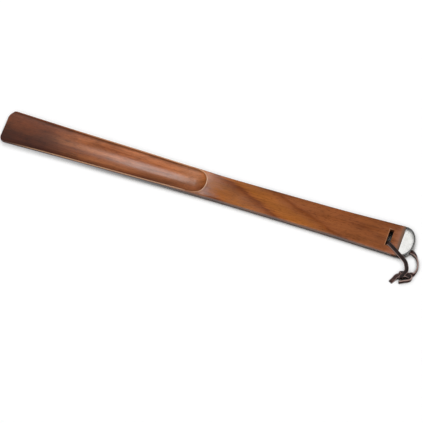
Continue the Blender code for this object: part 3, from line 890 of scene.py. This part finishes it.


# The lip round the scoop's end is pale with a painted highlight all along.
on_end_lip = np.isin(place_keys(spots), place_keys(end_lip[:, :-1].reshape(-1, 3) / MM))
rim = np.where(on_end_lip, 1.0, rim)
in_slot = np.abs(spot_x - SLOT_X) < slot_half_x - STRIP / 2
in_slot &= np.abs(spot_y) < slot_half_y - STRIP / 2
# Painted shade on the walls of the slot, darker with depth.
side_shade = np.where(in_slot, ease(below_top, *SLOT_SHADE_DEPTH), side_shade)
# Painted highlight on the slot's rim, on the blade's side only.
on_slot_rim = in_slot & (below_top < SLOT_RIM_DEPTH) & (spot_x < SLOT_X)
rim = np.where(on_slot_rim, SLOT_RIM_HIGHLIGHT, rim)
keep_on_points(horn, "painted_side_shade", side_shade)
keep_on_points(horn, "sanded_rim_and_highlight", rim)
print("points on the rims", int((rim > 0.5).sum()), "and on the sides", int((side_shade > 0.5).sum()))

# %% [markdown]
# The board was cut at a slant, so its growth rings cross the handle as slanting stripes. A
# ring number that rises along the horn and across it gives them, swayed by slow noise and
# feathered by the fibres. The blade was hollowed through the rings and shows them as long
# streaks. Near the slot the figure is plainer.

# %% Growth rings and streaks
RING_SLANT = 2.7
RING_WIDTH = 71.0 * MM
FIRST_RING_X = 47.0 * MM
RING_SWAY, RING_FEATHER = 34.0 * MM, 22.0 * MM
RINGS_BEFORE = 8.0
wood_material, tree, spot, shader, link = new_material("walnut_varnish")
axes = add_node(tree, "ShaderNodeSeparateXYZ", {0: spot}).outputs
fibre = noise(tree, spot, (22, 900, 900), 3.0, 0.6)
sway = noise(tree, spot, (16, 42, 42), 3.0, 0.6)
slant = added(tree, axes["X"], maths(tree, "MULTIPLY", axes["Y"], RING_SLANT))
ring = added(tree, slant, waver(tree, sway, RING_SWAY), waver(tree, fibre, RING_FEATHER),
             -FIRST_RING_X)
ring = added(tree, maths(tree, "DIVIDE", ring, RING_WIDTH), RINGS_BEFORE)
ring = maths(tree, "FRACT", ring)
rings_colour = ramp(tree, ring, [(0.0, rgb(122, 62, 26)), (0.06, rgb(126, 66, 28)),
                                 (0.14, rgb(152, 84, 34)), (0.3, rgb(162, 94, 38)),
                                 (0.62, rgb(158, 92, 42)), (0.8, rgb(146, 84, 44)),
                                 (0.93, rgb(134, 72, 32)), (1.0, rgb(122, 62, 26))])
streak = noise(tree, spot, (5, 110, 70), 4.0, 0.6, 0.6)
streaks = ramp(tree, streak, [(0.3, rgb(112, 52, 20)), (0.45, rgb(146, 80, 40)),
                              (0.58, rgb(162, 96, 56)), (0.72, rgb(176, 110, 62))])
plain = ramp(tree, streak, [(0.3, rgb(129, 69, 35)), (0.5, rgb(141, 80, 45)),
                            (0.7, rgb(152, 89, 52))])
on_handle = between(tree, axes["X"], -20, 8)
figure = mixed(tree, on_handle, streaks, rings_colour)
figure = mixed(tree, between(tree, slant, 112, 120, 0, 0.85), figure, plain)

# %% [markdown]
# The tip took up more stain than the rest, most of all on its near half. Across the blade, painted
# shade darkens the trough's near half and painted light brightens its far half. A painted highlight
# lies on the far side of the bowl at the scoop's end, and the waist past it is a shade darker. The
# cutter left faint chatter in the scoop.

# %% Dark tip, painted wall shading, painted highlight in the bowl, waist and chatter
across_blade = between(tree, axes["Y"], -14, 14)
tip_colours = ramp(tree, across_blade, [(0.0, rgb(58, 15, 0)), (0.45, rgb(76, 31, 6)),
                                        (1.0, rgb(98, 45, 17))])
blade_tip = between(tree, axes["X"], -190, -135, 0.9, 0)
figure = mixed(tree, blade_tip, figure, tip_colours)
# Painted shade on the blade's near half and painted light on its far half.
wall_shading = grey_ramp(tree, across_blade, [(0.0, 0.84), (0.5, 1.02), (0.85, 1.3)])
figure = mixed(tree, maths(tree, "SUBTRACT", 1.0, on_handle), figure, wall_shading, "MULTIPLY")
# Painted highlight: a paler patch on the far side of the bowl at the scoop's end.
bowl = maths(tree, "MULTIPLY", band(tree, axes["X"], -48, -26, -14, -6),
             between(tree, axes["Y"], -9, 0, 0, 0.5))
figure = mixed(tree, bowl, figure, rgb(186, 120, 76))
waist = band(tree, axes["X"], -4, 2, 16, 40)
figure = mixed(tree, waist, figure, (0.95, 0.92, 0.90, 1.0), "MULTIPLY")
chatter = noise(tree, spot, (70, 170, 170), 2.0)
chatter = grey_ramp(tree, chatter, [(0.34, 0.62), (0.5, 1.0), (0.7, 1.1)])
chatter_share = between(tree, axes["X"], -60, 10, 0.6, 0.15)
figure = mixed(tree, chatter_share, figure, chatter, "MULTIPLY")

# %% [markdown]
# Fine fibres are noise stretched along the horn, and pores are short dark dashes. Toward the cap a
# painted sheen, a painted reflection of the light, lies on the wood past an uneven line, and the
# last 3 mm before the joint are grey.

# %% Clouds, fibres, pores and the painted sheen at the end
SHEEN_LINE_SWAY = 30.0 * MM
cloud = noise(tree, spot, (22, 60, 60), 3.0, 0.55)
clouds = grey_ramp(tree, cloud, [(0.3, 0.66), (0.5, 1.0), (0.7, 1.2)])
fibres = grey_ramp(tree, fibre, [(0.3, 0.66), (0.5, 1.0), (0.75, 1.22)])
pore = noise(tree, spot, (240, 1900, 1900), 1.0)
pores = grey_ramp(tree, pore, [(0.3, 0.4), (0.42, 1.0), (1.0, 1.0)])
for share, layer in ((0.75, clouds), (0.7, fibres), (0.7, pores)):
    figure = mixed(tree, share, figure, layer, "MULTIPLY")
# Painted sheen between the slot and the cap, past an uneven line.
sheen_line = added(tree, axes["X"], waver(tree, cloud, SHEEN_LINE_SWAY))
painted_sheen = between(tree, sheen_line, 212, 221, 0, 0.6)
figure = mixed(tree, painted_sheen, figure, rgb(166, 112, 88))
joint_shade = between(tree, axes["X"], 221.5, 223.5, 0, 0.8)
figure = mixed(tree, joint_shade, figure, rgb(112, 90, 74))

# %% [markdown]
# The two attributes, painted shade and pale rims with a painted highlight, come last in the colour.
# The gloss is a thin clear coat, as varnish is: duller at the tip and at the scoop's end, where
# hands and heels rub it, and glossiest on the waist.

# %% Rims, sides, gloss and relief
RIM_SHARE, SIDE_SHARE, PORE_DEPTH = 0.62, 0.7, 0.42
# Pale rims: sanded wood and a painted highlight.
pale = maths(tree, "MULTIPLY", kept(tree, "sanded_rim_and_highlight"), RIM_SHARE)
figure = mixed(tree, pale, figure, rgb(204, 156, 116))
# Painted shade on the outer sides and in the slot.
dark = maths(tree, "MULTIPLY", kept(tree, "painted_side_shade"), SIDE_SHARE)
figure = mixed(tree, dark, figure, rgb(42, 20, 9))
link(figure, shader.inputs["Base Color"])
gloss = added(tree, uneven_gloss(tree, scaled(tree, spot, (20, 90, 90)), 1.0, 0.17, 0.25),
              between(tree, axes["X"], -212, -142, 0.36, 0),
              between(tree, axes["X"], -34, -14, 0, 0.14),
              between(tree, axes["X"], -8, 0, 0, -0.28),
              between(tree, axes["X"], 20, 60, 0, 0.07))
link(gloss, shader.inputs["Roughness"])
relief = added(tree, fibre, maths(tree, "MINIMUM", pore, PORE_DEPTH))
link(bump(tree, relief, 0.3, 0.1 * MM), shader.inputs["Normal"])
shader.inputs["Specular IOR Level"].default_value = 0.45
shader.inputs["Coat Weight"].default_value = 0.15
shader.inputs["Coat Roughness"].default_value = 0.1
coat(horn, wood_material)

# %% [markdown]
# ## Metal, steel and leather
# The cap is polished, so nearly all of its look is what it mirrors, with a little uneven gloss. The
# dowel pins are ground steel. The leather has a dark waxed grain side, a paler rough flesh side,
# and pale cut edges that also carry a painted highlight, told apart by the point attributes of the
# lace.

# %% Metals
metal_material, tree, spot, shader, link = new_material("mirror_metal")
link(uneven_gloss(tree, spot, 260.0, 0.02, 0.045), shader.inputs["Roughness"])
tarnish = noise(tree, spot, 120.0, 4.0, 0.6)
link(ramp(tree, tarnish, [(0.3, (0.48, 0.475, 0.46, 1.0)), (0.7, (0.54, 0.54, 0.53, 1.0))]),
     shader.inputs["Base Color"])
shader.inputs["Metallic"].default_value = 1.0
coat(cap, metal_material)

steel_material, tree, spot, shader, link = new_material("ground_steel")
grinding = noise(tree, spot, (4000, 300, 300), 2.0)
link(grey_ramp(tree, grinding, [(0.3, 0.48), (0.7, 0.62)]), shader.inputs["Base Color"])
link(uneven_gloss(tree, spot, 600.0, 0.3, 0.45), shader.inputs["Roughness"])
shader.inputs["Metallic"].default_value = 1.0
for name in ("dowel_pin_near", "dowel_pin_far"):
    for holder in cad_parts[name].material_slots:
        holder.material = steel_material

# %% Leather
leather_material, tree, spot, shader, link = new_material("waxed_leather")
pebbles = add_node(tree, "ShaderNodeTexVoronoi", {"Vector": spot, "Scale": 1900.0})
mottle = noise(tree, spot, 420.0, 4.0, 0.6)
grain = ramp(tree, mottle, [(0.3, rgb(18, 8, 6)), (0.5, rgb(30, 15, 11)),
                            (0.72, rgb(56, 30, 24))])
flesh = ramp(tree, mottle, [(0.3, rgb(38, 20, 16)), (0.5, rgb(58, 33, 28)),
                            (0.72, rgb(92, 62, 55))])
is_flesh = from_to(tree, kept(tree, "grain_side"), -0.98, -0.7, 1.0, 0.0)
skin_colour = mixed(tree, is_flesh, grain, flesh)
from_middle = maths(tree, "ABSOLUTE", kept(tree, "across"))
# Pale cut edges, with a painted highlight along them.
cut_edge_and_highlight = grey_ramp(tree, from_middle, [(0.82, 0.0), (0.92, 1.0)])
skin_colour = mixed(tree, cut_edge_and_highlight, skin_colour, rgb(158, 130, 122))
link(skin_colour, shader.inputs["Base Color"])
link(uneven_gloss(tree, spot, 500.0, 0.26, 0.4), shader.inputs["Roughness"])
relief = added(tree, pebbles.outputs["Distance"], mottle)
link(bump(tree, relief, 0.35, 0.08 * MM), shader.inputs["Normal"])
for leg in (lower_thong, upper_thong):
    coat(leg, leather_material)

# %% [markdown]
# ## Floor
# The photograph shows a white surface under broad, soft light. The floor is a pale plane that
# lifts to white for the camera and for mirrors, except where the horn closes it in, so the
# shadow stays. Closeness is felt over two reaches: the short one draws the shade along the
# edges, the long one blackens the bottom of the slot. Light gets in under the raised blade, so
# the shade there is limited.

# %% Floor
FLOOR_SIZE = 6.0
CLOSED_IN_REACH = 8.0 * MM
DEEP_REACH = 30.0 * MM
FLOOR_GREY = 0.6
FLOOR_LIFT = 0.46
bpy.ops.mesh.primitive_plane_add(size=FLOOR_SIZE)
floor = bpy.context.object
floor.name = "floor"
floor_material, tree, spot, shader, link = new_material("pale_floor")
closeness = add_node(tree, "ShaderNodeAmbientOcclusion", {"Distance": CLOSED_IN_REACH},
                     samples=12)
shade = ramp(tree, closeness.outputs["AO"], [
    (0.32, (0.003, 0.002, 0.001, 1.0)), (0.42, (0.14, 0.12, 0.10, 1.0)),
    (0.51, (0.44, 0.42, 0.41, 1.0)), (0.63, (0.76, 0.76, 0.76, 1.0)),
    (0.78, (0.93, 0.93, 0.93, 1.0)), (0.92, (1.0, 1.0, 1.0, 1.0))])
deep = add_node(tree, "ShaderNodeAmbientOcclusion", {"Distance": DEEP_REACH}, samples=8)
deep = grey_ramp(tree, deep.outputs["AO"], [(0.22, 0.01), (0.34, 1.0)])
shade = mixed(tree, 1.0, shade, deep, "MULTIPLY")
axes = add_node(tree, "ShaderNodeSeparateXYZ", {0: spot}).outputs
under_blade = between(tree, axes["X"], -230, 5, 0.8, 0)
shade = mixed(tree, 1.0, shade, under_blade, "LIGHTEN")
link(mixed(tree, 1.0, (FLOOR_GREY, FLOOR_GREY, FLOOR_GREY, 1.0), shade, "MULTIPLY"),
     shader.inputs["Base Color"])
shader.inputs["Roughness"].default_value = 0.9
shader.inputs["Specular IOR Level"].default_value = 0.1
link(shade, shader.inputs["Emission Color"])
rays = add_node(tree, "ShaderNodeLightPath").outputs
seen = added(tree, rays["Is Camera Ray"], rays["Is Glossy Ray"], rays["Is Transmission Ray"])
link(maths(tree, "MULTIPLY", seen, FLOOR_LIFT), shader.inputs["Emission Strength"])
coat(floor, floor_material)

# %% [markdown]
# ## Lamps, card and world
# One softbox behind gives the band of light in the scoop, and a small one whitens the cap. A
# black card lies round the cap, seen only in mirrors, and darkens its rounded edge.

# %% Softboxes
SOFTBOX_HEIGHT = 1.2


def softbox(name, shape, place, size, radiance):
    """Level lamp overhead; its power is pi times its area times its radiance."""
    lamp = bpy.data.lights.new(name, "AREA")
    lamp.shape = shape
    lamp.size, lamp.size_y = size
    area = size[0] * size[1] * (math.pi / 4 if shape == "ELLIPSE" else 1.0)
    lamp.energy = math.pi * area * radiance
    put_in_scene(name, lamp).location = (*place, SOFTBOX_HEIGHT)
    print(name, "watts", round(lamp.energy, 2))


softbox("scoop_softbox", "RECTANGLE", place=(-0.305, 0.62), size=(0.14, 0.30), radiance=8.7)
softbox("cap_softbox", "ELLIPSE", place=(0.083, 0.6518), size=(0.0298, 0.0444), radiance=1.7)

# %% Black card round the cap, for mirrors only
CARD_RADII = (0.0197, 0.060)
CARD_HEIGHT = 0.0002
CARD_TURN = 0.6 * math.pi
card_turns = np.linspace(-CARD_TURN, CARD_TURN, 61)[:, None]
card_radii = np.array(CARD_RADII)[None, :]
card_points = np.stack(np.broadcast_arrays(JOINT_X * MM + card_radii * np.cos(card_turns),
                                           card_radii * np.sin(card_turns), CARD_HEIGHT), axis=-1)
card_places, card_faces = grid_patch(card_points)
card_mesh = bpy.data.meshes.new("black_card")
card_mesh.from_pydata(card_places.tolist(), [], card_faces)
card = put_in_scene("black_card", card_mesh)
card_material, tree, spot, shader, link = new_material("black_felt")
felt = noise(tree, spot, 900.0)
link(grey_ramp(tree, felt, [(0.3, 0.004), (0.7, 0.012)]), shader.inputs["Base Color"])
shader.inputs["Roughness"].default_value = 1.0
shader.inputs["Specular IOR Level"].default_value = 0.0
coat(card, card_material)
for ray in ("camera", "diffuse", "transmission", "volume_scatter", "shadow"):
    setattr(card, "visible_" + ray, False)

# %% [markdown]
# The dome of light stands overhead and a little to the front. Mirrors see a dim grey ceiling
# instead, so that polished metal reads as metal from every side. It has a dark patch where
# the photograph's own view is mirrored, which gives the cap its dark outline.

# %% World
DOME_TOWARD = (0.1, -0.40, 0.91)
DOME_RADIANCE = 2.9
CEILING_TOWARD = (-0.159, 0.470, 0.868)
world = bpy.data.worlds.new("studio")
bpy.context.scene.world = world
world.use_nodes = True
tree = world.node_tree
view = add_node(tree, "ShaderNodeTexCoord").outputs["Generated"]


def nearness(toward):
    """Cosine between the view and a direction."""
    node = add_node(tree, "ShaderNodeVectorMath", {0: view, 1: toward}, operation="DOT_PRODUCT")
    return node.outputs["Value"]


dome = grey_ramp(tree, nearness(DOME_TOWARD), [(0.1, 0.01), (0.66, 0.02), (0.76, 0.12),
                                               (0.9, 1.0)])
ceiling = grey_ramp(tree, nearness(CEILING_TOWARD), [(0.0, 0.12), (0.6, 0.06), (0.8, 0.08),
                                                     (0.93, 0.09), (0.987, 0.09),
                                                     (0.993, 0.004)])
mirrored = add_node(tree, "ShaderNodeLightPath").outputs["Is Glossy Ray"]
background = tree.nodes["Background"].inputs
tree.links.new(mixed(tree, mirrored, dome, ceiling), background["Color"])
background["Strength"].default_value = DOME_RADIANCE
print("world nodes", len(tree.nodes))

# %% View settings
bpy.context.scene.view_settings.view_transform = "Standard"
